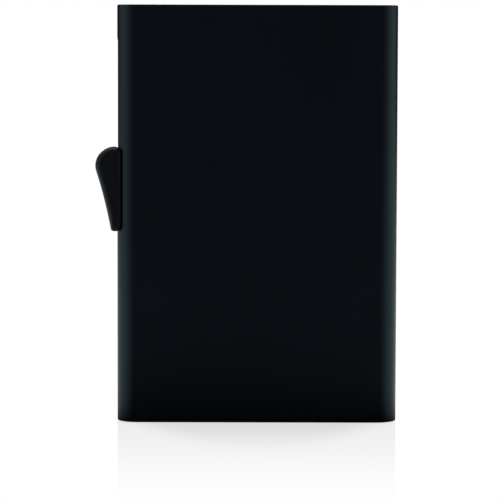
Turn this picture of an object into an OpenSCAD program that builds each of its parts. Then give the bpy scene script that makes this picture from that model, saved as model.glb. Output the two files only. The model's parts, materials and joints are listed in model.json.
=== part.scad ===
// Slim aluminium card case. A thumb lever on its left side lifts a stack of blades that fans
// the cards out of the mouth. Millimetres, +Z up, the front face looks along -Y, +X is to the
// right seen from the front. The origin is the centre of the closed bottom end.

/* [Cards] */
// Width of one card
card_w = 54; // [45:0.5:70]
// Height of one card
card_h = 85.6; // [70:0.1:110]
// Thickness of one card
card_t = 0.76; // [0.7:0.01:1.1]
// Free play beside the cards, on each side
card_play = 0.3; // [0.2:0.05:0.6]

/* [Case] */
// Wall of the extruded tube
wall = 1.1; // [0.8:0.05:1.6]
// Room between the tube wall and the card stack, for the felt pads
lining_room = 0.65; // [0.55:0.05:1.2]
// Flat strip down the middle of each outer side
side_flat = 0.4; // [0.1:0.1:1]
// Depth of the card tops below the mouth
mouth_recess = 1.2; // [0.6:0.1:3]
// Thickness of the plug that closes the bottom
plug_t = 1.8; // [1.2:0.1:3]
// Height of the frame that lines the mouth
frame_h = 6; // [4:0.5:6.5]
// Depth of the mouth frame below the end of the tube
frame_recess = 0.2; // [0:0.05:0.6]
// Lead-in chamfer around the mouth
lead_in = 0.3; // [0.1:0.05:0.4]
// Gap around a piece that is pushed into the tube
fit_gap = 0.05; // [0.03:0.01:0.1]

/* [Rails] */
// Width of a side rail, from the card pocket to the tube wall
rail_w = 3.6; // [3.4:0.1:6]
// Wall between the card pocket and the channel of the slider bar
lip_t = 1.2; // [1.1:0.05:1.6]
// Running gap between the parts that slide on each other
slide_gap = 0.1; // [0.06:0.01:0.15]
// Height of the two spigots that key the bottom plug into the rails
spigot_h = 1.1; // [0.6:0.1:1.3]

/* [Thumb lever] */
// Travel of the lever and of the first blade
travel = 28; // [20:0.5:30]
// Width of the slot that the lever's neck runs in
slot_w = 2.8; // [2:0.1:3]
// Gap between the neck and each side of its slot
neck_gap = 0.2; // [0.1:0.05:0.3]
// Gap between the neck and the end of its slot at each limit
end_gap = 0.5; // [0.3:0.1:1]
// Distance from the mouth to the top of the slot
slot_drop = 7.2; // [6.8:0.1:12]
// Length of the neck along its slot
neck_len = 12.5; // [10:0.5:15]
// Length of the lever
lever_len = 19.2; // [17:0.1:24]
// Part of the lever above its neck
lever_over = 3.3; // [2:0.05:5]
// Width of the lever, front to back
lever_w = 6.6; // [4.5:0.1:7]
// Reach of the lever's rounded head beyond the side of the tube
head_reach = 4.95; // [4.2:0.05:7]
// Radius of the lever's rounded head
head_r = 4.2; // [3:0.1:5]
// Reach of the lever's waist
waist_reach = 2.87; // [2:0.01:4]
// Distance from the top of the lever to its waist
waist_drop = 11.85; // [9:0.05:14]
// Reach of the lever's toe
toe_reach = 1.45; // [1:0.05:2.5]
// Chamfer along the lever's outer edges
lever_chamfer = 0.5; // [0.2:0.05:0.6]
// Running gap between the lever and the outside of the tube
lever_gap = 0.12; // [0.08:0.01:0.3]
// Diameter of the two dowels that pin the lever to the slider bar
dowel_d = 1.2; // [0.8:0.1:1.4]
// Depth of the dowels in the lever, beyond the side of the tube
dowel_depth = 1.4; // [1:0.1:1.8]

/* [Slider bar] */
// Thickness of the slider bar
bar_t = 1; // [0.8:0.05:1.2]
// Width of the slider bar, front to back
bar_w = 3.6; // [3:0.1:3.8]
// Length of the slider bar above the neck
bar_over = 1; // [0.5:0.1:1.2]
// Height of the runner that guides the right end of the first blade
runner_h = 14; // [10:0.5:20]
// Shank diameter of the rivets that hold the bar and the runner
rivet_d = 1; // [0.8:0.1:1.2]
// Head diameter of the rivets
rivet_head_d = 1.7; // [1.4:0.1:2]
// Head height of the rivets
rivet_head_h = 0.3; // [0.2:0.05:0.4]

/* [Blades] */
// Thickness of one blade
blade_t = 0.7; // [0.6:0.01:1]
// Gap between the cards of neighbouring blades
stack_gap = 0.08; // [0.05:0.01:0.2]
// Lift of each blade that the one in front of it does not follow
fan_step = 3.6; // [2.5:0.1:4.5]
// Diameter of the pegs that pick up the next blade
peg_d = 1.2; // [0.8:0.1:1.6]
// Gap between a peg and the edge of its window
peg_gap = 0.1; // [0.05:0.05:0.2]
// Metal left above and below a window
window_margin = 0.8; // [0.6:0.1:1.5]
// Distance of the outer pegs from the middle
outer_peg_x = 18; // [16:0.5:20]
// Distance of the inner pegs from the middle
inner_peg_x = 12; // [8:0.5:13]
// Depth of the folded ends of the first blade, front to back
flange_depth = 3.35; // [3:0.05:3.6]

/* [Detent] */
// Thickness of the leaf spring
spring_t = 0.2; // [0.1:0.05:0.2]
// Width of the leaf spring, front to back
spring_w = 2.2; // [1.5:0.1:2.4]
// Length of the leaf spring
spring_len = 12; // [10:0.5:14]
// Rise of the spring's crest above its ends
crest_rise = 0.5; // [0.46:0.01:0.52]
// Height of the spring above the top of the rail's side opening
detent_rise = 8; // [7.5:0.5:10]
// Depth of the notches in the slider bar
notch_depth = 0.25; // [0.2:0.05:0.3]

/* [Felt pads] */
// Width of a pad
pad_w = 40; // [20:1:42]
// Height of a pad
pad_h = 20; // [10:1:24]
// Thickness of a pad
pad_t = 0.5; // [0.3:0.05:0.5]
// Corner radius of a pad
pad_corner_r = 2; // [1:0.5:4]
// Gap between the pads and the mouth frame above them
pad_drop = 3; // [1:0.5:10]

/* [Hidden] */
blade_count = 6;
cut = 1; // how far a cutting shape runs past the surface it opens
curve_fn = 64;
hole_fn = 32;
end_play = 3 * slide_gap; // free length left beyond the end of a travel
fold_play = 1.5 * slide_gap; // free room in front of and behind the folded end of the first blade
blade_play = 2 * slide_gap; // free room beside each end of a flat blade

pocket_x = card_w / 2 + card_play;
pitch = card_t + stack_gap;
stack_t = (blade_count - 1) * pitch + blade_t;
body_w = 2 * (pocket_x + rail_w + wall);
body_t = stack_t + 2 * (lining_room + wall);
side_r = (body_t - side_flat) / 2;

window_h = fan_step + peg_d + 2 * peg_gap;
blade_h = window_h + 2 * window_margin;
floor_z = plug_t;
body_h = floor_z + blade_h + card_h + mouth_recess;
frame_z = body_h - frame_recess - frame_h;

side_x = body_w / 2;
lining_y = body_t / 2 - wall;
channel_x = pocket_x + lip_t;
bar_x = channel_x + slide_gap;
bar_y = bar_w / 2;
channel_end_x = bar_x + bar_t + slide_gap;
bar_z = floor_z + spigot_h + end_play;
rivet_z = [bar_z + rivet_head_d / 2 + slide_gap, floor_z + blade_h - rivet_head_d / 2 - end_play];

slot_hi = body_h - slot_drop;
neck_hi = slot_hi - end_gap - travel;
neck_lo = neck_hi - neck_len;
slot_lo = neck_lo - end_gap;
neck_w = slot_w - 2 * neck_gap;
lever_top = neck_hi + lever_over;
dowel_z = [neck_lo + neck_len / 4, neck_hi - neck_len / 4];

toe_r = 0.7;
heel_r = 1;
heel_wrap = 1.15; // how far the heel reaches round the side of the tube

blade_x = pocket_x - blade_play;
flange_front_y = blade_y(1) + blade_t / 2 - flange_depth;
rivet_y = flange_front_y + rivet_head_d / 2 + slide_gap / 2;
opening_top = floor_z + blade_h + travel + end_play;
detent_z = opening_top + detent_rise;

// Middle of blade k, front to back; blade 1 is the rearmost.
function blade_y(k) = stack_t / 2 - blade_t / 2 - (k - 1) * pitch;

// Distance of blade k's own pegs from the middle; neighbours differ, so that windows and pegs alternate.
function peg_x(k) = k % 2 == 1 ? outer_peg_x : inner_peg_x;

// Outline of the tube seen from above, drawn inwards from its outer surface by inset.
module tube_outline(inset) {
    corner_x = side_x - side_r;
    corner_y = side_flat / 2;
    square([2 * corner_x, body_t - 2 * inset], center = true);
    square([body_w - 2 * inset, side_flat], center = true);
    for (x = [-corner_x, corner_x], y = [-corner_y, corner_y])
        translate([x, y]) circle(r = side_r - inset, $fn = curve_fn);
}

// A block that crosses a left wall from x_out to x_in, with half-round ends at z_lo and z_hi.
module side_slot(width, z_lo, z_hi, x_out, x_in) {
    r = width / 2;
    translate([x_out, -r, z_lo + r]) cube([x_in - x_out, width, z_hi - z_lo - width]);
    for (z = [z_lo + r, z_hi - r])
        translate([x_out, 0, z]) rotate([0, 90, 0]) cylinder(r = r, h = x_in - x_out, $fn = hole_fn);
}

// A round bar along X.
module cross_pin(d, x_from, x_to, y, z) {
    translate([x_from, y, z]) rotate([0, 90, 0]) cylinder(d = d, h = x_to - x_from, $fn = hole_fn);
}

// A round bar along Y.
module depth_pin(d, y_from, y_to, x, z) {
    translate([x, y_to, z]) rotate([90, 0, 0]) cylinder(d = d, h = y_to - y_from, $fn = hole_fn);
}

module case_sleeve() {
    color("#14171b") difference() {
        linear_extrude(body_h) tube_outline(0);
        translate([0, 0, -cut]) linear_extrude(body_h + 2 * cut) tube_outline(wall);
        side_slot(slot_w, slot_lo, slot_hi, -side_x - cut, -side_x + wall + cut);
    }
}

module base_plug() {
    spigot = [bar_t - slide_gap, bar_w, spigot_h];
    color("#1c1d20") union() {
        linear_extrude(plug_t) tube_outline(wall + fit_gap);
        for (x = [-bar_x - bar_t, bar_x + slide_gap])
            translate([x, -bar_y, plug_t]) cube(spigot);
    }
}

module mouth_frame() {
    opening = [2 * pocket_x, stack_t + 2 * fit_gap];
    color("#1c1d20") translate([0, 0, frame_z]) difference() {
        linear_extrude(frame_h) tube_outline(wall + fit_gap);
        translate([0, 0, -cut]) linear_extrude(frame_h + 2 * cut) square(opening, center = true);
        translate([0, 0, frame_h]) lead_in_cut(opening);
    }
}

// What the chamfer removes around an opening whose rim is at z = 0: a block that widens upwards.
module lead_in_cut(opening) {
    reach = opening[0] + opening[1];
    intersection() {
        rotate([90, 0, 0]) linear_extrude(reach, center = true) lead_in_section(opening[0]);
        rotate([90, 0, 90]) linear_extrude(reach, center = true) lead_in_section(opening[1]);
    }
}

module lead_in_section(width) {
    half = width / 2;
    polygon([[-half, -lead_in], [half, -lead_in], [half + lead_in + cut, cut], [-half - lead_in - cut, cut]]);
}

// The left rail without the openings that only it has. The right rail is its mirror image.
module rail_body() {
    rail_h = frame_z - floor_z;
    difference() {
        translate([0, 0, floor_z]) intersection() {
            linear_extrude(rail_h) tube_outline(wall + fit_gap);
            translate([-side_x, -side_x, 0]) cube([rail_w + wall, body_w, rail_h]);
        }
        rail_channel(rail_h);
        blade_opening();
    }
}

module rail_channel(rail_h) {
    channel_y = bar_y + slide_gap;
    translate([-channel_end_x, -channel_y, floor_z - cut])
        cube([channel_end_x - channel_x, 2 * channel_y, rail_h + 2 * cut]);
}

// The opening in a rail's lip that the folded end of the first blade travels in.
module blade_opening() {
    x_out = bar_x + slide_gap;
    y_lo = flange_front_y - fold_play;
    y_hi = blade_y(1) + blade_t / 2 + fold_play;
    translate([-x_out, y_lo, floor_z - cut])
        cube([x_out - pocket_x + cut, y_hi - y_lo, opening_top - floor_z + cut]);
}

// The recess in the left rail's lip that holds the leaf spring against the slider bar.
module spring_seat() {
    seat = [spring_seat_depth() + slide_gap, spring_w + 2 * slide_gap, spring_len + 2 * slide_gap];
    translate([-channel_x - slide_gap, -seat[1] / 2, detent_z - seat[2] / 2]) cube(seat);
}

// Deep enough that the crest stops one running gap short of the bottom of the notch.
function spring_seat_depth() = crest_rise + spring_t - notch_depth;

module left_rail() {
    color("#26272b") difference() {
        rail_body();
        side_slot(slot_w, slot_lo, slot_hi, -side_x, -channel_end_x + slide_gap);
        spring_seat();
    }
}

module right_rail() {
    color("#26272b") mirror([1, 0, 0]) rail_body();
}

// A felt pad that lies on the inside of the tube wall, from y to y + pad_t.
module felt_pad(y) {
    pad_z = frame_z - pad_drop - pad_h / 2;
    corner_x = pad_w / 2 - pad_corner_r;
    corner_z = pad_h / 2 - pad_corner_r;
    color("#3b3d42") translate([0, y + pad_t, pad_z]) rotate([90, 0, 0]) linear_extrude(pad_t) union() {
        square([pad_w, 2 * corner_z], center = true);
        square([2 * corner_x, pad_h], center = true);
        for (x = [-corner_x, corner_x], z = [-corner_z, corner_z])
            translate([x, z]) circle(r = pad_corner_r, $fn = hole_fn);
    }
}

// The leaf spring, drawn in X and Z with its ends on the seat: a shallow bow with a crest in the middle.
module detent_spring() {
    half = spring_len / 2;
    bow_rise = crest_rise / 2.5;
    crest_half = 0.35;
    crest_foot = 1.2;
    end_flat = 1;
    face = [
        [-half, 0], [end_flat - half, 0], [-crest_foot, bow_rise], [-crest_half, crest_rise],
        [crest_half, crest_rise], [crest_foot, bow_rise], [half - end_flat, 0], [half, 0]
    ];
    back = [for (i = [len(face) - 1:-1:0]) face[i] - [0, spring_t]];
    seat_x = -channel_x + spring_seat_depth();
    color("#b9bcc0") translate([seat_x - spring_t, spring_w / 2, detent_z])
        rotate([90, 0, 0]) linear_extrude(spring_w) rotate(90) polygon(concat(face, back));
}

// A disc of the lever's width, standing on edge, with its rims chamfered.
module lever_disc(r, reach, z, chamfer) {
    translate([r - side_x - reach, 0, z]) rotate([90, 0, 0]) union() {
        cylinder(r = r, h = lever_w - 2 * chamfer, center = true, $fn = hole_fn * 1.5);
        cylinder(r = r - chamfer, h = lever_w, center = true, $fn = hole_fn * 1.5);
    }
}

// The lever's grip: a round head that narrows over a waist to the toe, with a straight heel.
module lever_grip() {
    heel_reach = 2 * heel_r - heel_wrap;
    waist_r = 1;
    waist_z = lever_top - waist_drop;
    toe_z = lever_top - lever_len;
    hull() {
        lever_disc(head_r, head_reach, lever_top - head_r, lever_chamfer);
        lever_disc(heel_r, heel_reach, lever_top - heel_r, 0);
        lever_disc(waist_r, waist_reach, waist_z, lever_chamfer);
        lever_disc(heel_r, heel_reach, waist_z, 0);
    }
    hull() {
        lever_disc(waist_r, waist_reach, waist_z, lever_chamfer);
        lever_disc(heel_r, heel_reach, waist_z, 0);
        lever_disc(toe_r, toe_reach, toe_z + toe_r, lever_chamfer);
        lever_disc(heel_r, heel_reach, toe_z + heel_r, 0);
    }
}

module thumb_lever() {
    color("#17191c") difference() {
        union() {
            difference() {
                lever_grip();
                linear_extrude(body_h) tube_outline(-lever_gap);
            }
            side_slot(neck_w, neck_lo, neck_hi, -side_x - 2 * lever_gap, -bar_x - bar_t);
        }
        for (z = dowel_z) cross_pin(dowel_d, -side_x - dowel_depth, -bar_x, 0, z);
    }
}

module lever_dowels() {
    color("#c4c6c9") for (z = dowel_z) cross_pin(dowel_d, -side_x - dowel_depth, -bar_x, 0, z);
}

// A groove across the bar's inner face that the crest of the leaf spring drops into.
module bar_notch(z) {
    mouth_half = 0.95;
    bottom_half = 0.45;
    translate([-bar_x, bar_y + cut, z]) rotate([90, 0, 0]) linear_extrude(bar_w + 2 * cut)
        polygon([[cut, -mouth_half], [0, -mouth_half], [-notch_depth, -bottom_half],
            [-notch_depth, bottom_half], [0, mouth_half], [cut, mouth_half]]);
}

module slider_bar() {
    color("#a9acb0") difference() {
        translate([-bar_x - bar_t, -bar_y, bar_z]) cube([bar_t, bar_w, neck_hi + bar_over - bar_z]);
        for (z = [detent_z, detent_z - travel]) bar_notch(z);
        for (z = dowel_z) cross_pin(dowel_d, -bar_x - bar_t - cut, -bar_x + cut, 0, z);
        for (z = rivet_z) cross_pin(rivet_d, -bar_x - bar_t - cut, -bar_x + cut, rivet_y, z);
    }
}

// Two rivets through the left bar or runner and the folded end of the first blade.
module rivet_pair() {
    color("#c4c6c9") for (z = rivet_z) union() {
        cross_pin(rivet_d, -bar_x - bar_t, -bar_x + blade_t, rivet_y, z);
        cross_pin(rivet_head_d, -bar_x + blade_t, -bar_x + blade_t + rivet_head_h, rivet_y, z);
    }
}

module bar_rivets() {
    rivet_pair();
}

module runner_rivets() {
    mirror([1, 0, 0]) rivet_pair();
}

module guide_runner() {
    color("#d8d6cc") mirror([1, 0, 0]) difference() {
        translate([-bar_x - bar_t, -bar_y, bar_z]) cube([bar_t, bar_w, runner_h]);
        for (z = rivet_z) cross_pin(rivet_d, -bar_x - bar_t - cut, -bar_x + cut, rivet_y, z);
    }
}

// A flat blade of the given half width, with the holes for its pegs and the windows for the pegs behind it.
module blade_plate(k, half_w) {
    back = blade_y(k) + blade_t / 2;
    front = back - blade_t;
    difference() {
        translate([-half_w, front, floor_z]) cube([2 * half_w, blade_t, blade_h]);
        if (k < blade_count)
            for (x = [-peg_x(k), peg_x(k)]) depth_pin(peg_d, front - cut, back + cut, x, peg_z());
        if (k > 1)
            for (x = [-peg_x(k - 1), peg_x(k - 1)]) window(x, front - cut, back + cut);
    }
}

function peg_z() = floor_z + window_margin + peg_gap + peg_d / 2;

// A window with half-round ends that a peg of the blade behind travels in.
module window(x, y_from, y_to) {
    r = peg_d / 2 + peg_gap;
    z_lo = floor_z + window_margin;
    translate([x - r, y_from, z_lo + r]) cube([2 * r, y_to - y_from, window_h - 2 * r]);
    for (z = [z_lo + r, z_lo + window_h - r]) depth_pin(2 * r, y_from, y_to, x, z);
}

// The first blade: its ends fold forwards and carry the slider bar and the guide runner.
module lift_blade_1() {
    color("#b4b7bb") difference() {
        union() {
            blade_plate(1, bar_x);
            for (x = [-bar_x, bar_x - blade_t])
                translate([x, flange_front_y, floor_z]) cube([blade_t, flange_depth, blade_h]);
        }
        for (z = rivet_z) cross_pin(rivet_d, -side_x, side_x, rivet_y, z);
    }
}

module lift_blade(k) {
    color("#b4b7bb") blade_plate(k, blade_x);
}

// The two pegs of blade k, flush with its back, reaching through the windows of the next blade.
module blade_pegs(k) {
    color("#c4c6c9") for (x = [-peg_x(k), peg_x(k)])
        depth_pin(peg_d, blade_y(k + 1) - blade_t / 2 + slide_gap / 2, blade_y(k) + blade_t / 2, x, peg_z());
}

case_sleeve();
base_plug();
mouth_frame();
left_rail();
right_rail();
felt_pad(-lining_y);  // front_felt_pad
felt_pad(lining_y - pad_t);  // rear_felt_pad
detent_spring();
thumb_lever();
lever_dowels();
slider_bar();
bar_rivets();
guide_runner();
runner_rivets();
lift_blade_1();
for (k = [2:blade_count]) lift_blade(k);
for (k = [1:blade_count - 1]) blade_pegs(k);
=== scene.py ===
"""Slim aluminium card case with a side lever: the looks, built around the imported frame."""

import json
import math

import bpy
from mathutils import Euler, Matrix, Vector, noise


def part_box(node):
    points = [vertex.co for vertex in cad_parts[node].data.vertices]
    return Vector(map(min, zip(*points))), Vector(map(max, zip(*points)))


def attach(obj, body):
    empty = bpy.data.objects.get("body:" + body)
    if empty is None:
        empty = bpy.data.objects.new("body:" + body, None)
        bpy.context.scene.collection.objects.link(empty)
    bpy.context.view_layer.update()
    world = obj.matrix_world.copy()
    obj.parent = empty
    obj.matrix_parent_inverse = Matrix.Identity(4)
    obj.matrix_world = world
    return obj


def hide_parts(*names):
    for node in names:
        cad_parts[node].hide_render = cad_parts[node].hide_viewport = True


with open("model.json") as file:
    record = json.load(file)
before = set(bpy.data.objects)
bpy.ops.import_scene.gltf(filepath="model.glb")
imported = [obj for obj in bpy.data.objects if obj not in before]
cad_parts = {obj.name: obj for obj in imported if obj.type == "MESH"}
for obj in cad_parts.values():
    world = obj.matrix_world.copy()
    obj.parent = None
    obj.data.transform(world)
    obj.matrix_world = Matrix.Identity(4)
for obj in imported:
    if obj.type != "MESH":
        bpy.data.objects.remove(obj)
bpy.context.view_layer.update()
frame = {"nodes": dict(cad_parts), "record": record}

MM = 0.001
NODES = frame["nodes"]
# The case's rounded sides, in millimetres: their radius, and the flat strip down the middle of each.
SIDE_R = 4.0
SIDE_FLAT = 0.4

# ---------------------------------------------------------------- small helpers


def srgb(code):
    """A hex colour as it is seen, turned into the linear values that shaders take."""
    channels = [int(code[i:i + 2], 16) / 255 for i in (1, 3, 5)]
    linear = [c / 12.92 if c <= 0.04045 else ((c + 0.055) / 1.055) ** 2.4 for c in channels]
    return (*linear, 1.0)


def per(size_mm):
    """The scale that gives a pattern features of that size."""
    return 1 / (size_mm * MM)


def add(tree, kind, inputs=None, **settings):
    """Adds a node: settings are its own properties, inputs are numbers, colours or outputs to link from."""
    made = tree.nodes.new(kind)
    for name, value in settings.items():
        setattr(made, name, value)
    for name, value in (inputs or {}).items():
        if isinstance(value, bpy.types.NodeSocket):
            tree.links.new(value, made.inputs[name])
        else:
            made.inputs[name].default_value = value
    return made


def new_material(name):
    """A node material, its empty tree, and the place of every point of the piece in metres."""
    material = bpy.data.materials.new(name)
    material.use_nodes = True
    tree = material.node_tree
    tree.nodes.clear()
    place = add(tree, "ShaderNodeTexCoord").outputs["Object"]
    return material, tree, place


# ---------------------------------------------------------------- materials


def anodised_aluminium():
    """Bead-blasted aluminium under a black oxide film: satin, near-black and cool, with a fine grain."""
    material, tree, place = new_material("black_anodised_aluminium")
    # The beads leave dimples of about 0.08 mm, drawn at 0.25 mm so that they show.
    blast = add(tree, "ShaderNodeTexNoise", {
        "Vector": place, "Scale": per(0.25), "Detail": 3.0, "Roughness": 0.6,
    })
    # The dye takes a little unevenly over a few centimetres.
    dye = add(tree, "ShaderNodeTexNoise", {
        "Vector": place, "Scale": per(22), "Detail": 2.0, "Roughness": 0.5,
    })
    # Faint lines of the extrusion die run the length of the tube, 0.6 mm apart.
    along = add(tree, "ShaderNodeMapping", {"Vector": place, "Scale": (1.0, 1.0, 0.01)})
    die = add(tree, "ShaderNodeTexNoise", {"Vector": along.outputs[0], "Scale": per(0.6), "Detail": 2.0})
    grain = add(tree, "ShaderNodeMath", {0: blast.outputs[0], 1: die.outputs[0]}, operation="ADD")
    sheen = add(tree, "ShaderNodeMapRange", {
        "Value": grain.outputs[0], "From Max": 2.0, "To Min": 0.30, "To Max": 0.38,
    })
    colour = add(tree, "ShaderNodeMix", {
        0: dye.outputs[0], 6: srgb("#30383f"), 7: srgb("#384149"),
    }, data_type="RGBA")
    bump = add(tree, "ShaderNodeBump", {"Height": blast.outputs[0], "Strength": 0.6, "Distance": 0.006 * MM})
    shader = add(tree, "ShaderNodeBsdfPrincipled", {
        "Base Color": colour.outputs[2],
        "Metallic": 1.0,
        "Roughness": sheen.outputs[0],
        "Normal": bump.outputs[0],
    })
    add(tree, "ShaderNodeOutputMaterial", {"Surface": shader.outputs[0]})
    return material


def moulded_plastic(name, dark, light, texture_mm, depth_mm, rough, ior):
    """Injection-moulded plastic from a finely eroded mould: a soft satin with a tight, even texture."""
    material, tree, place = new_material(name)
    texture = add(tree, "ShaderNodeTexNoise", {
        "Vector": place, "Scale": per(texture_mm), "Detail": 4.0, "Roughness": 0.7,
    })
    flow = add(tree, "ShaderNodeTexNoise", {"Vector": place, "Scale": per(6), "Detail": 2.0})
    colour = add(tree, "ShaderNodeMix", {0: flow.outputs[0], 6: srgb(dark), 7: srgb(light)}, data_type="RGBA")
    satin = add(tree, "ShaderNodeMapRange", {
        "Value": texture.outputs[0], "To Min": rough - 0.05, "To Max": rough + 0.05,
    })
    bump = add(tree, "ShaderNodeBump", {
        "Height": texture.outputs[0], "Strength": 0.8, "Distance": depth_mm * MM,
    })
    shader = add(tree, "ShaderNodeBsdfPrincipled", {
        "Base Color": colour.outputs[2],
        "Roughness": satin.outputs[0],
        "IOR": ior,
        "Normal": bump.outputs[0],
    })
    add(tree, "ShaderNodeOutputMaterial", {"Surface": shader.outputs[0]})
    return material


def rolled_steel(name, dark, light, line_mm, along_axis, rough):
    """Cold-rolled steel with the fine lines of the rolls or the belt: long streaks of light along them."""
    material, tree, place = new_material(name)
    stretch = [1.0, 1.0, 1.0]
    stretch[along_axis] = 0.02
    along = add(tree, "ShaderNodeMapping", {"Vector": place, "Scale": stretch})
    lines = add(tree, "ShaderNodeTexNoise", {
        "Vector": along.outputs[0], "Scale": per(line_mm), "Detail": 3.0,
    })
    colour = add(tree, "ShaderNodeMix", {
        0: lines.outputs[0], 6: srgb(dark), 7: srgb(light),
    }, data_type="RGBA")
    polish = add(tree, "ShaderNodeMapRange", {
        "Value": lines.outputs[0], "To Min": rough - 0.08, "To Max": rough + 0.08,
    })
    bump = add(tree, "ShaderNodeBump", {"Height": lines.outputs[0], "Strength": 0.5, "Distance": 0.004 * MM})
    shader = add(tree, "ShaderNodeBsdfPrincipled", {
        "Base Color": colour.outputs[2],
        "Metallic": 1.0,
        "Roughness": polish.outputs[0],
        "Normal": bump.outputs[0],
    })
    add(tree, "ShaderNodeOutputMaterial", {"Surface": shader.outputs[0]})
    return material


def wool_felt():
    """Pressed grey wool felt: matt, softly mottled, with short fibres that catch the light at the edges."""
    material, tree, place = new_material("grey_wool_felt")
    # Wool fibres are about 0.03 mm thick, drawn at 0.12 mm so that they show.
    fibre = add(tree, "ShaderNodeTexNoise", {
        "Vector": place, "Scale": per(0.12), "Detail": 5.0, "Roughness": 0.75, "Distortion": 1.5,
    })
    mottle = add(tree, "ShaderNodeTexNoise", {"Vector": place, "Scale": per(1.5), "Detail": 3.0})
    both = add(tree, "ShaderNodeMath", {0: fibre.outputs[0], 1: mottle.outputs[0]}, operation="MULTIPLY")
    colour = add(tree, "ShaderNodeMix", {
        0: both.outputs[0], 6: srgb("#26282b"), 7: srgb("#6c7077"),
    }, data_type="RGBA")
    bump = add(tree, "ShaderNodeBump", {"Height": fibre.outputs[0], "Strength": 1.0, "Distance": 0.05 * MM})
    shader = add(tree, "ShaderNodeBsdfPrincipled", {
        "Base Color": colour.outputs[2],
        "Roughness": 0.95,
        "Sheen Weight": 0.3,
        "Sheen Roughness": 0.5,
        "Normal": bump.outputs[0],
    })
    add(tree, "ShaderNodeOutputMaterial", {"Surface": shader.outputs[0]})
    return material


def make_materials():
    """One material for each material slot of the record."""
    return {
        "anodised_aluminium": anodised_aluminium(),
        "black_abs": moulded_plastic("black_moulded_abs", "#02080f", "#060d18", 0.25, 0.008, 0.36, 1.5),
        "black_pom": moulded_plastic("black_moulded_pom", "#15161a", "#202126", 0.4, 0.006, 0.38, 1.48),
        "natural_pom": moulded_plastic("natural_moulded_pom", "#d3d0c2", "#dfdcd0", 0.4, 0.006, 0.38, 1.48),
        "grey_felt": wool_felt(),
        "spring_steel": rolled_steel("rolled_spring_steel", "#b4b7bb", "#c8cbce", 0.3, 2, 0.24),
        "stainless_sheet": rolled_steel("brushed_stainless_sheet", "#b2b4b6", "#cdcfd0", 0.25, 2, 0.34),
        "steel_pins": rolled_steel("ground_steel_pins", "#c0c2c3", "#d4d5d6", 0.2, 1, 0.2),
    }


# ---------------------------------------------------------------- edges of the hard parts


# Edges that turn by more than this are sharp.
SHARP_DEG = 35


def new_mesh_group(name):
    """A group of nodes that takes in a mesh and gives it back, and the mesh that goes in."""
    group = bpy.data.node_groups.new(name, "GeometryNodeTree")
    group.interface.new_socket("Geometry", in_out="INPUT", socket_type="NodeSocketGeometry")
    group.interface.new_socket("Geometry", in_out="OUTPUT", socket_type="NodeSocketGeometry")
    return group, add(group, "NodeGroupInput").outputs[0]


def smooth_by_angle_group():
    """Shades a mesh smooth except across its sharp edges."""
    group, mesh = new_mesh_group("smooth_by_angle")
    angle = add(group, "GeometryNodeInputMeshEdgeAngle")
    flat_enough = add(group, "FunctionNodeCompare", {
        0: angle.outputs["Unsigned Angle"], 1: math.radians(SHARP_DEG),
    }, operation="LESS_EQUAL")
    edges = add(group, "GeometryNodeSetShadeSmooth", {
        "Geometry": mesh, "Shade Smooth": flat_enough.outputs[0],
    }, domain="EDGE")
    faces = add(group, "GeometryNodeSetShadeSmooth", {
        "Geometry": edges.outputs[0], "Shade Smooth": True,
    }, domain="FACE")
    add(group, "NodeGroupOutput", {0: faces.outputs[0]})
    return group


def cut_ends_group(low_z, high_z):
    """Marks the sharp edges around the lower and upper end of a part, the only ones to be broken on it."""
    group, mesh = new_mesh_group("cut_ends")
    place = add(group, "GeometryNodeInputPosition")
    height = add(group, "ShaderNodeSeparateXYZ", {0: place.outputs[0]}).outputs["Z"]
    from_middle = add(group, "ShaderNodeMath", {0: height, 1: (low_z + high_z) / 2}, operation="SUBTRACT")
    above_or_below = add(group, "ShaderNodeMath", {0: from_middle.outputs[0]}, operation="ABSOLUTE")
    at_end = add(group, "ShaderNodeMath", {
        0: above_or_below.outputs[0], 1: (high_z - low_z) / 2 - 0.01 * MM,
    }, operation="GREATER_THAN")
    angle = add(group, "GeometryNodeInputMeshEdgeAngle")
    sharp = add(group, "ShaderNodeMath", {
        0: angle.outputs["Unsigned Angle"], 1: math.radians(SHARP_DEG),
    }, operation="GREATER_THAN")
    both = add(group, "ShaderNodeMath", {0: at_end.outputs[0], 1: sharp.outputs[0]}, operation="MULTIPLY")
    marked = add(group, "GeometryNodeStoreNamedAttribute", {
        "Geometry": mesh, "Name": "bevel_weight_edge", "Value": both.outputs[0],
    }, data_type="FLOAT", domain="EDGE")
    add(group, "NodeGroupOutput", {0: marked.outputs[0]})
    return group


def break_edges(piece, width_mm, smooth_group, marks_group=None):
    """Breaks the sharp edges of a hard part, or the marked ones only, and smooths its curves."""
    weld = piece.modifiers.new("weld", "WELD")
    weld.merge_threshold = 0.001 * MM
    flats = piece.modifiers.new("flats", "DECIMATE")
    flats.decimate_type = "DISSOLVE"
    flats.angle_limit = math.radians(0.5)
    if marks_group:
        piece.modifiers.new("marks", "NODES").node_group = marks_group
    bevel = piece.modifiers.new("broken_edges", "BEVEL")
    bevel.width = width_mm * MM
    bevel.segments = 3
    bevel.limit_method = "WEIGHT" if marks_group else "ANGLE"
    bevel.angle_limit = math.radians(SHARP_DEG)
    bevel.use_clamp_overlap = not marks_group
    piece.modifiers.new("smooth", "NODES").node_group = smooth_group


# ---------------------------------------------------------------- studio


# The camera: a long lens, almost square to the front and looking slightly down.
LENS_MM = 187.68
SENSOR_MM = 36
CAMERA_AT_MM = (-4.05, -596.3, 85.23)
CAMERA_DOWN_DEG = 4.412
CAMERA_TURN_DEG = -0.2346
CAMERA_ROLL_DEG = 0.1618


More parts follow.
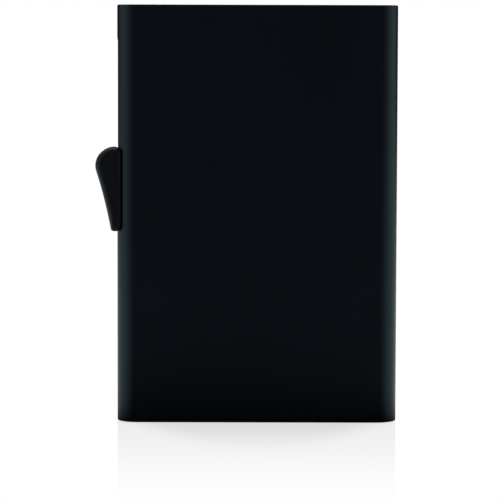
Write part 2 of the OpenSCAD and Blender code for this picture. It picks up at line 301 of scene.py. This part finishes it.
def make_camera():
    """The camera, which is also the scene's own."""
    lens = bpy.data.cameras.new("camera")
    lens.sensor_width = SENSOR_MM
    lens.lens = LENS_MM
    lens.clip_start = 0.01
    camera = bpy.data.objects.new("camera", lens)
    camera.location = Vector(CAMERA_AT_MM) * MM
    camera.rotation_euler = Euler((math.radians(90 - CAMERA_DOWN_DEG), 0, math.radians(CAMERA_TURN_DEG)))
    camera.rotation_euler.rotate_axis("Z", math.radians(CAMERA_ROLL_DEG))
    bpy.context.scene.collection.objects.link(camera)
    bpy.context.scene.camera = camera


# The studio in four layers, from straight down to straight up. Each is its brightness all round the case, as
# (azimuth, brightness) with 0 in front of it and 90 on its right: black cloths in front and straight behind,
# a softbox on each side, and a pale table that is lit beside and behind the case.
STUDIO_UNDERNEATH = [(-180, 0.38), (-90, 0.48), (-50, 0.28), (50, 0.28), (90, 0.48), (180, 0.38)]
STUDIO_TABLE = [
    (-180, 0.22), (-160, 0.50), (-130, 0.78), (-104, 0.86), (-76, 0.66), (-60, 0.54), (-40, 0.36),
    (-16, 0.10), (0, 0.05), (16, 0.12), (40, 0.38), (60, 0.57), (76, 0.74), (104, 1.00),
    (130, 1.05), (160, 0.75), (180, 0.22),
]
STUDIO_LEVEL = [
    (-180, 0.01), (-132, 0.0), (-121, 0.10), (-108, 0.40), (-85, 0.52), (-60, 0.49), (-40, 0.24),
    (-16, 0.09), (0, 0.05), (16, 0.07), (40, 0.18), (60, 0.43), (85, 0.76), (108, 0.66),
    (120, 0.22), (134, 0.0), (180, 0.01),
]
STUDIO_OVERHEAD = [(-180, 0.9), (-90, 0.8), (-45, 0.20), (45, 0.20), (90, 0.8), (180, 0.9)]
# Between which heights each layer gives way to the next, in degrees above level.
STUDIO_CHANGES_DEG = [(-34, -18), (-6, -2), (30, 55)]
# The light of the softboxes is slightly green, and a little violet light comes from all sides.
SOFTBOX_TINT = (0.87, 1.0, 0.92)
STRAY_LIGHT = (0.011, 0.0, 0.016)


def make_studio():
    """Plain white to the eye and in the table's polish; soft light and black cloths to everything else."""
    world = bpy.data.worlds.new("studio")
    world.use_nodes = True
    tree = world.node_tree
    tree.nodes.clear()
    direction = add(tree, "ShaderNodeTexCoord").outputs["Generated"]
    parts = add(tree, "ShaderNodeSeparateXYZ", {0: direction})
    forwards = add(tree, "ShaderNodeMath", {0: parts.outputs["Y"], 1: -1.0}, operation="MULTIPLY")
    azimuth = add(tree, "ShaderNodeMath", {
        0: parts.outputs["X"], 1: forwards.outputs[0],
    }, operation="ARCTAN2")
    turn = add(tree, "ShaderNodeMapRange", {
        "Value": azimuth.outputs[0], "From Min": -math.pi, "From Max": math.pi,
    })
    rings = []
    for layer in (STUDIO_UNDERNEATH, STUDIO_TABLE, STUDIO_LEVEL, STUDIO_OVERHEAD):
        ring = add(tree, "ShaderNodeValToRGB", {"Fac": turn.outputs[0]})
        stops = ring.color_ramp.elements
        while len(stops) < len(layer):
            stops.new(0.5)
        for stop, (azimuth_deg, brightness) in zip(stops, layer):
            stop.position = azimuth_deg / 360 + 0.5
            stop.color = (*[brightness * tint + stray for tint, stray in zip(SOFTBOX_TINT, STRAY_LIGHT)], 1)
        rings.append(ring.outputs["Color"])
    light = rings[0]
    for ring, (low_deg, high_deg) in zip(rings[1:], STUDIO_CHANGES_DEG):
        share = add(tree, "ShaderNodeMapRange", {
            "Value": parts.outputs["Z"],
            "From Min": math.sin(math.radians(low_deg)),
            "From Max": math.sin(math.radians(high_deg)),
        }, interpolation_type="SMOOTHSTEP")
        light = add(tree, "ShaderNodeMix", {
            0: share.outputs[0], 6: light, 7: ring,
        }, data_type="RGBA").outputs[2]
    around = add(tree, "ShaderNodeBackground", {"Color": light})
    seen = add(tree, "ShaderNodeBackground", {"Color": (1, 1, 1, 1)})
    ray = add(tree, "ShaderNodeLightPath").outputs
    white = add(tree, "ShaderNodeMath", {
        0: ray["Is Camera Ray"], 1: ray["Is Singular Ray"],
    }, operation="MAXIMUM")
    pick = add(tree, "ShaderNodeMixShader", {0: white.outputs[0], 1: around.outputs[0], 2: seen.outputs[0]})
    add(tree, "ShaderNodeOutputWorld", {"Surface": pick.outputs[0]})
    bpy.context.scene.world = world
    bpy.context.scene.view_settings.view_transform = "Standard"


# The table top. Lengths are in millimetres.
TABLE_HALF_SIZE = 3000
# The share of the light that the polish mirrors next to the case, and how far out it fades to nothing.
POLISH_AT_CASE = 0.143
POLISH_REACH = 118
# The painted dark line around the bottom edge, a contact shadow in the table's glow, and the part of each end
# that it leaves lit.
CONTACT_SHADOW = 1.0
LIT_END = 0.8
# The painted soft shadow in front and behind: how much of the table's glow it takes away next to the case,
# how far out it goes, how much it narrows for each millimetre further out, and where it fades away on both
# sides of the middle.
SHADOW_AT_CASE = 0.165
SHADOW_REACH = 50
SHADOW_NARROWING = 0.48
SHADOW_SIDE_FADE = (20, 35)
# Painted shade: how dark the table is in the sheen of the case, next to the case, and how soon it gets
# lighter further out.
SHADE_COLOUR = "#675969"
SHADE_REACH = 45
SHADE_REACH_SIDEWAYS = 9


def make_floor():
    """A glowing white table top with painted shadows around the case, and a faint polish that fades away from
    the case.
    """
    material, tree, place = new_material("white_table_top")
    low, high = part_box("case_sleeve")
    centre = (low + high) / 2
    half = (high - low) / 2
    # The rounded sides go around a flat core, drawn in at both ends so that the light gets in there.
    core_half = (half.x - (SIDE_R + LIT_END) * MM, half.y - SIDE_R * MM)

    # How far a point is from the middle of the case, outside the case, and outside its core.
    parts = add(tree, "ShaderNodeSeparateXYZ", {0: place})
    away, past_case, past_core = [], [], []
    for axis, name in enumerate("XY"):
        offset = add(tree, "ShaderNodeMath", {0: parts.outputs[name], 1: centre[axis]}, operation="SUBTRACT")
        from_centre = add(tree, "ShaderNodeMath", {0: offset.outputs[0]}, operation="ABSOLUTE")
        away.append(from_centre.outputs[0])
        for edge, kept in ((half[axis], past_case), (core_half[axis], past_core)):
            past = add(tree, "ShaderNodeMath", {0: from_centre.outputs[0], 1: edge}, operation="SUBTRACT")
            outside = add(tree, "ShaderNodeMath", {0: past.outputs[0], 1: 0.0}, operation="MAXIMUM")
            kept.append(outside.outputs[0])

    # The polish fades with the distance from the case.
    from_case = add(tree, "ShaderNodeCombineXYZ", {"X": past_case[0], "Y": past_case[1]})
    distance = add(tree, "ShaderNodeVectorMath", {0: from_case.outputs[0]}, operation="LENGTH")
    polish = add(tree, "ShaderNodeMapRange", {
        "Value": distance.outputs["Value"],
        "From Max": POLISH_REACH * MM,
        "To Min": POLISH_AT_CASE,
        "To Max": 0.0,
    }, interpolation_type="SMOOTHSTEP")

    # The painted soft shadow, taken off the table's glow, fades outwards and to both sides.
    shadow_outwards = add(tree, "ShaderNodeMapRange", {
        "Value": past_case[1],
        "From Max": SHADOW_REACH * MM,
        "To Min": SHADOW_AT_CASE,
        "To Max": 0.0,
    }, interpolation_type="SMOOTHSTEP")
    from_middle = add(tree, "ShaderNodeMath", {
        0: past_case[1], 1: SHADOW_NARROWING, 2: away[0],
    }, operation="MULTIPLY_ADD")
    shadow_sideways = add(tree, "ShaderNodeMapRange", {
        "Value": from_middle.outputs[0],
        "From Min": SHADOW_SIDE_FADE[0] * MM,
        "From Max": SHADOW_SIDE_FADE[1] * MM,
        "To Min": 1.0,
        "To Max": 0.0,
    }, interpolation_type="SMOOTHSTEP")
    shadow = add(tree, "ShaderNodeMath", {
        0: shadow_outwards.outputs[0], 1: shadow_sideways.outputs[0],
    }, operation="MULTIPLY")
    unshaded = add(tree, "ShaderNodeMath", {0: 1.0, 1: shadow.outputs[0]}, operation="SUBTRACT")

    # Painted contact shadow: no light gets in under the broken edge at the bottom of the case, except at its
    # two ends.
    from_core = add(tree, "ShaderNodeCombineXYZ", {"X": past_core[0], "Y": past_core[1]})
    core_distance = add(tree, "ShaderNodeVectorMath", {0: from_core.outputs[0]}, operation="LENGTH")
    lit = add(tree, "ShaderNodeMapRange", {
        "Value": core_distance.outputs["Value"],
        "From Min": SIDE_R * MM,
        "From Max": (SIDE_R + CONTACT_SHADOW) * MM,
    }, interpolation_type="SMOOTHSTEP")
    # The table's white glow, darkened by the painted contact shadow and the painted soft shadow.
    glow_with_painted_shadows = add(tree, "ShaderNodeMath", {0: lit.outputs[0], 1: unshaded.outputs[0]}, operation="MULTIPLY")
    white = add(tree, "ShaderNodeEmission", {"Color": (1, 1, 1, 1), "Strength": glow_with_painted_shadows.outputs[0]})
    gloss = add(tree, "ShaderNodeBsdfAnisotropic", {"Color": (1, 1, 1, 1), "Roughness": 0.0})
    top = add(tree, "ShaderNodeMixShader", {0: polish.outputs[0], 1: white.outputs[0], 2: gloss.outputs[0]})

    # The sheen of the case shows the studio's table instead, with painted shade close to the case, which
    # shades it.
    out_of_shade = add(tree, "ShaderNodeMath", {
        0: past_case[0], 1: SHADE_REACH / SHADE_REACH_SIDEWAYS, 2: past_case[1],
    }, operation="MULTIPLY_ADD")
    shading = add(tree, "ShaderNodeMath", {
        0: out_of_shade.outputs[0], 1: -1 / (SHADE_REACH * MM),
    }, operation="MULTIPLY")
    shade = add(tree, "ShaderNodeMath", {0: math.e, 1: shading.outputs[0]}, operation="POWER")
    # The tint of the painted shade, deepest next to the case.
    passed = add(tree, "ShaderNodeMix", {
        0: shade.outputs[0], 6: (1, 1, 1, 1), 7: srgb(SHADE_COLOUR),
    }, data_type="RGBA")
    painted_shade_in_sheen = add(tree, "ShaderNodeBsdfTransparent", {"Color": passed.outputs[2]})
    ray = add(tree, "ShaderNodeLightPath").outputs
    table_top = add(tree, "ShaderNodeMixShader", {
        0: ray["Is Camera Ray"], 1: painted_shade_in_sheen.outputs[0], 2: top.outputs[0],
    })
    add(tree, "ShaderNodeOutputMaterial", {"Surface": table_top.outputs[0]})
    material.cycles.emission_sampling = "NONE"

    reach = TABLE_HALF_SIZE * MM
    mesh = bpy.data.meshes.new("table_top")
    corners = [(x * reach, y * reach, low.z) for x, y in ((-1, -1), (1, -1), (1, 1), (-1, 1))]
    mesh.from_pydata(corners, [], [(0, 1, 2, 3)])
    mesh.materials.append(material)
    table = bpy.data.objects.new("table_top", mesh)
    bpy.context.scene.collection.objects.link(table)


# ---------------------------------------------------------------- the case


# How much is taken off the sharp edges of each hard material, in millimetres: most by blasting and tumbling
# the aluminium, least by the mould and by deburring.
EDGE_MM = {
    "anodised_aluminium": 0.3,
    "black_abs": 0.06,
    "black_pom": 0.12,
    "natural_pom": 0.15,
    "stainless_sheet": 0.06,
    "steel_pins": 0.08,
    "spring_steel": 0.03,
}
# Parts with holes, windows or slots, which have only their ends broken.
PIERCED = [
    "case_sleeve", "left_rail", "guide_runner", "slider_bar", *(f"lift_blade_{k}" for k in range(1, 7)),
]


def dress_frame(materials, smooth_group):
    """Gives every part of the frame its finish, and breaks the edges of the hard ones."""
    for part in frame["record"]["subparts"]:
        node, finish = part["node"], part["material_slot"]
        piece = NODES[node]
        piece.data.materials.clear()
        piece.data.materials.append(materials[finish])
        if node in PIERCED:
            low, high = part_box(node)
            break_edges(piece, EDGE_MM[finish], smooth_group, cut_ends_group(low.z, high.z))
        elif finish in EDGE_MM:
            break_edges(piece, EDGE_MM[finish], smooth_group)


def new_piece(name, points, faces, finish, body):
    """A piece of the object from its points in metres, in the frame's own place."""
    mesh = bpy.data.meshes.new(name)
    mesh.from_pydata(points, [], faces)
    mesh.materials.append(finish)
    piece = bpy.data.objects.new(name, mesh)
    bpy.context.scene.collection.objects.link(piece)
    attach(piece, body)
    return piece


def loft(rings):
    """Faces that join closed rings of the same number of points, with a flat face on each end."""
    count = len(rings[0])
    points = [point for ring in rings for point in ring]
    faces = [
        (r * count + i, r * count + (i + 1) % count, (r + 1) * count + (i + 1) % count, (r + 1) * count + i)
        for r in range(len(rings) - 1) for i in range(count)
    ]
    faces.append(tuple(reversed(range(count))))
    faces.append(tuple(range((len(rings) - 1) * count, len(rings) * count)))
    return points, faces


def arc(centre, radii, from_deg, to_deg, steps):
    """Points on an arc in X and Z, angles counted from +X towards +Z."""
    angles = [math.radians(from_deg + (to_deg - from_deg) * i / steps) for i in range(steps + 1)]
    return [(centre[0] + radii[0] * math.cos(a), centre[1] + radii[1] * math.sin(a)) for a in angles]


def curve_between(start, start_way, end, end_way, steps):
    """Points of a smooth curve that leaves start and reaches end in the given directions, both left out."""
    start, end = Vector(start), Vector(end)
    reach = (end - start).length / 3
    handles = [start, start + reach * Vector(start_way), end - reach * Vector(end_way), end]
    points = []
    for i in range(1, steps):
        t = i / steps
        weights = [(1 - t) ** 3, 3 * t * (1 - t) ** 2, 3 * t * t * (1 - t), t ** 3]
        points.append(tuple(sum((w * h for w, h in zip(weights, handles)), Vector((0, 0)))))
    return points


def inset(outline, depths):
    """A closed outline, drawn anticlockwise, with each point moved inwards by its own depth."""
    moved = []
    for i, (here, depth) in enumerate(zip(outline, depths)):
        before, after = Vector(outline[i - 1]), Vector(outline[(i + 1) % len(outline)])
        way = (after - before).normalized()
        moved.append(Vector(here) + depth * Vector((-way.y, way.x)))
    return moved


# The thumb lever, in millimetres and degrees.
HEAD_R = 4.2
TOE_R = 0.7
TOE_H = 3.6
TOE_LIFT = 1.2
HEEL_TOP_H = 1.37
HEEL_FOOT_H = 2.2
HEEL_REACH = 0.92
SLOPE_TOP_DEG = 18
SLOPE_TOE_DEG = 11
LEVER_FILLET = 1.25
FILLET_AT_HEEL = 0.12
FILLET_AT_TOE = 0.45
LEVER_GAP = 0.12
NECK_W = 2.4
NECK_LEN = 12.5
NECK_DROP = 3.3
NECK_ROOT = 0.3


def lever_outline(low, high, base_x):
    """The lever seen from the front, anticlockwise from the heel's foot: round head, hollow slope and toe."""
    head = (low.x + HEAD_R, high.z - HEAD_R)
    toe = (head[0], low.z + TOE_R)
    heel_top = (head[0], high.z - HEEL_TOP_H)
    heel_foot = (base_x - TOE_R, low.z + HEEL_FOOT_H)
    top, bottom = math.radians(SLOPE_TOP_DEG), math.radians(SLOPE_TOE_DEG)
    slope_start = (head[0] - HEAD_R * math.cos(top), head[1] - HEAD_R * math.sin(top))
    slope_end = (toe[0] - TOE_R * math.cos(bottom), toe[1] - TOE_R * math.sin(bottom))
    way_in = (math.sin(top), -math.cos(top))
    way_out = (math.sin(bottom), -math.cos(bottom))
    outline = arc(heel_foot, (TOE_R, HEEL_FOOT_H), -90, 0, steps=12)
    outline += [(base_x, heel_foot[1] + (heel_top[1] - heel_foot[1]) * i / 12) for i in range(1, 12)]
    outline += arc(heel_top, (base_x - head[0], HEEL_TOP_H), 0, 90, steps=14)
    outline += arc(head, (HEAD_R, HEAD_R), 92, 180 + SLOPE_TOP_DEG, steps=36)
    outline += curve_between(slope_start, way_in, slope_end, way_out, steps=30)
    outline += arc(toe, (TOE_R, TOE_R), 180 + SLOPE_TOE_DEG, 270, steps=10)
    return outline


def build_thumb_lever(finish, smooth_group):
    """The lever's grip, rounded along its edges and hollowed to the side of the case, and its neck."""
    low, high = (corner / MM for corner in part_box("thumb_lever"))
    case_low, case_high = (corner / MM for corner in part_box("case_sleeve"))
    base_x = case_low.x + HEEL_REACH
    middle_x = low.x + HEAD_R
    half_w = (high.y - low.y) / 2
    outline = lever_outline(low, high, base_x)

    def saddle_x(y):
        """Where the lever ends at that depth: a running gap away from the rounded side of the case."""
        around = max(abs(y) - SIDE_FLAT / 2, 0)
        side = case_low.x + SIDE_R - math.sqrt((SIDE_R + LEVER_GAP) ** 2 - around ** 2)
        return min(side, base_x)

    def fillet_share(point):
        """How much of the full rounding an edge gets: less at the toe, and least at the heel."""
        heelward = min(max(point[0] - middle_x, 0) / (base_x - TOE_R - middle_x), 1)
        above_toe = min(max(point[1] - low.z - TOE_R, 0) / (TOE_H - TOE_R), 1)
        at_heel = 1 - (1 - FILLET_AT_HEEL) * heelward
        at_toe = FILLET_AT_TOE + (1 - FILLET_AT_TOE) * above_toe
        return min(at_heel, at_toe)

    flat_w = half_w - LEVER_FILLET
    depths = [flat_w * i / 10 for i in range(10)]
    depths += [flat_w + LEVER_FILLET * math.sin(math.radians(9 * i)) for i in range(11)]
    rings = []
    for y in list(reversed(depths)) + [-y for y in depths[1:]]:
        into = max(abs(y) - flat_w, 0)
        rounded = LEVER_FILLET - math.sqrt(max(LEVER_FILLET ** 2 - into ** 2, 0))
        squeeze = (saddle_x(y) - middle_x) / (base_x - middle_x)
        ring = []
        for x, z in inset(outline, [rounded * fillet_share(point) for point in outline]):
            z += TOE_LIFT * rounded / LEVER_FILLET * max(1 - (z - low.z) / TOE_H, 0) ** 2
            if x > middle_x:
                x = middle_x + (x - middle_x) * squeeze
            ring.append(Vector((x, y, z)) * MM)
        rings.append(ring)
    points, faces = loft(rings)
    grip = new_piece("thumb_lever_grip", points, faces, finish, "carriage")
    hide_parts("thumb_lever")
    grip.modifiers.new("smooth", "NODES").node_group = smooth_group

    # The flat neck that carries the lever through its slot to the slider bar, with half-round ends.
    radius = NECK_W / 2
    neck_top = high.z - NECK_DROP
    section = arc((0, neck_top - radius), (radius, radius), 0, 180, steps=16)
    section += arc((0, neck_top - NECK_LEN + radius), (radius, radius), 180, 360, steps=16)
    ends = (case_low.x - LEVER_GAP - NECK_ROOT, high.x)
    points, faces = loft([[Vector((x, y, z)) * MM for y, z in section] for x in ends])
    neck = new_piece("thumb_lever_neck", points, faces, finish, "carriage")
    neck.modifiers.new("smooth", "NODES").node_group = smooth_group


# The felt pads, in millimetres.
PAD_CORNER_R = 2.0
PAD_EDGE_R = 0.35
FELT_ROUGHNESS = 0.05
FELT_LUMPS_PER_MM = 3


def build_felt_pad(node, faces_back, finish, smooth_group):
    """A die-cut felt pad: flat where it is glued to the wall, softly rounded and fluffy towards the cards."""
    low, high = (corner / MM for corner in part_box(node))
    centre = (low + high) / 2
    half_x, half_z = (high.x - low.x) / 2, (high.z - low.z) / 2
    corner_x, corner_z = half_x - PAD_CORNER_R, half_z - PAD_CORNER_R
    thick = high.y - low.y
    glued_y, towards = (high.y, -1) if faces_back else (low.y, 1)

    corners = []
    for side_x, side_z, start_deg in ((1, 1, 0), (-1, 1, 90), (-1, -1, 180), (1, -1, 270)):
        at = (side_x * corner_x, side_z * corner_z)
        corners.append(arc(at, (PAD_CORNER_R, PAD_CORNER_R), start_deg, start_deg + 90, steps=8))
    rim = []
    for corner, following in zip(corners, corners[1:] + corners[:1]):
        start, end = Vector(corner[-1]), Vector(following[0])
        rim += corner + [tuple(start.lerp(end, i / 24)) for i in range(1, 24)]

    rings = [[(x, z, 0.0) for x, z in rim]]
    for step in range(7):
        angle = math.radians(90 * step / 6)
        sink = PAD_EDGE_R * (1 - math.cos(angle))
        rise = thick - PAD_EDGE_R * (1 - math.sin(angle))
        rings.append([(x * (1 - sink / half_x), z * (1 - sink / half_z), rise) for x, z in rim])
    for share in (0.95, 0.88, 0.8, 0.7, 0.6, 0.5, 0.4, 0.3, 0.2, 0.1):
        rings.append([(x * share, z * share, thick) for x, z in rim])

    placed = []
    for ring in rings:
        points = []
        for x, z, rise in ring:
            # The innermost ring closes the pad with one flat face, so it takes the height of the middle.
            spot = Vector((0, 0, rise)) if ring is rings[-1] else Vector((x, z, rise))
            lump = 0.5 + 0.5 * noise.noise(spot * FELT_LUMPS_PER_MM)
            y = glued_y + towards * max(rise - FELT_ROUGHNESS * lump, 0)
            points.append(Vector((centre.x + x, y, centre.z + z)) * MM)
        placed.append(points if faces_back else list(reversed(points)))
    points, faces = loft(placed)
    pad = new_piece(node + "_felt", points, faces, finish, "case")
    pad.modifiers.new("smooth", "NODES").node_group = smooth_group
    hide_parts(node)


make_camera()
make_studio()
make_floor()
materials = make_materials()
smooth_group = smooth_by_angle_group()
dress_frame(materials, smooth_group)
build_thumb_lever(materials["black_abs"], smooth_group)
build_felt_pad("front_felt_pad", False, materials["grey_felt"], smooth_group)
build_felt_pad("rear_felt_pad", True, materials["grey_felt"], smooth_group)
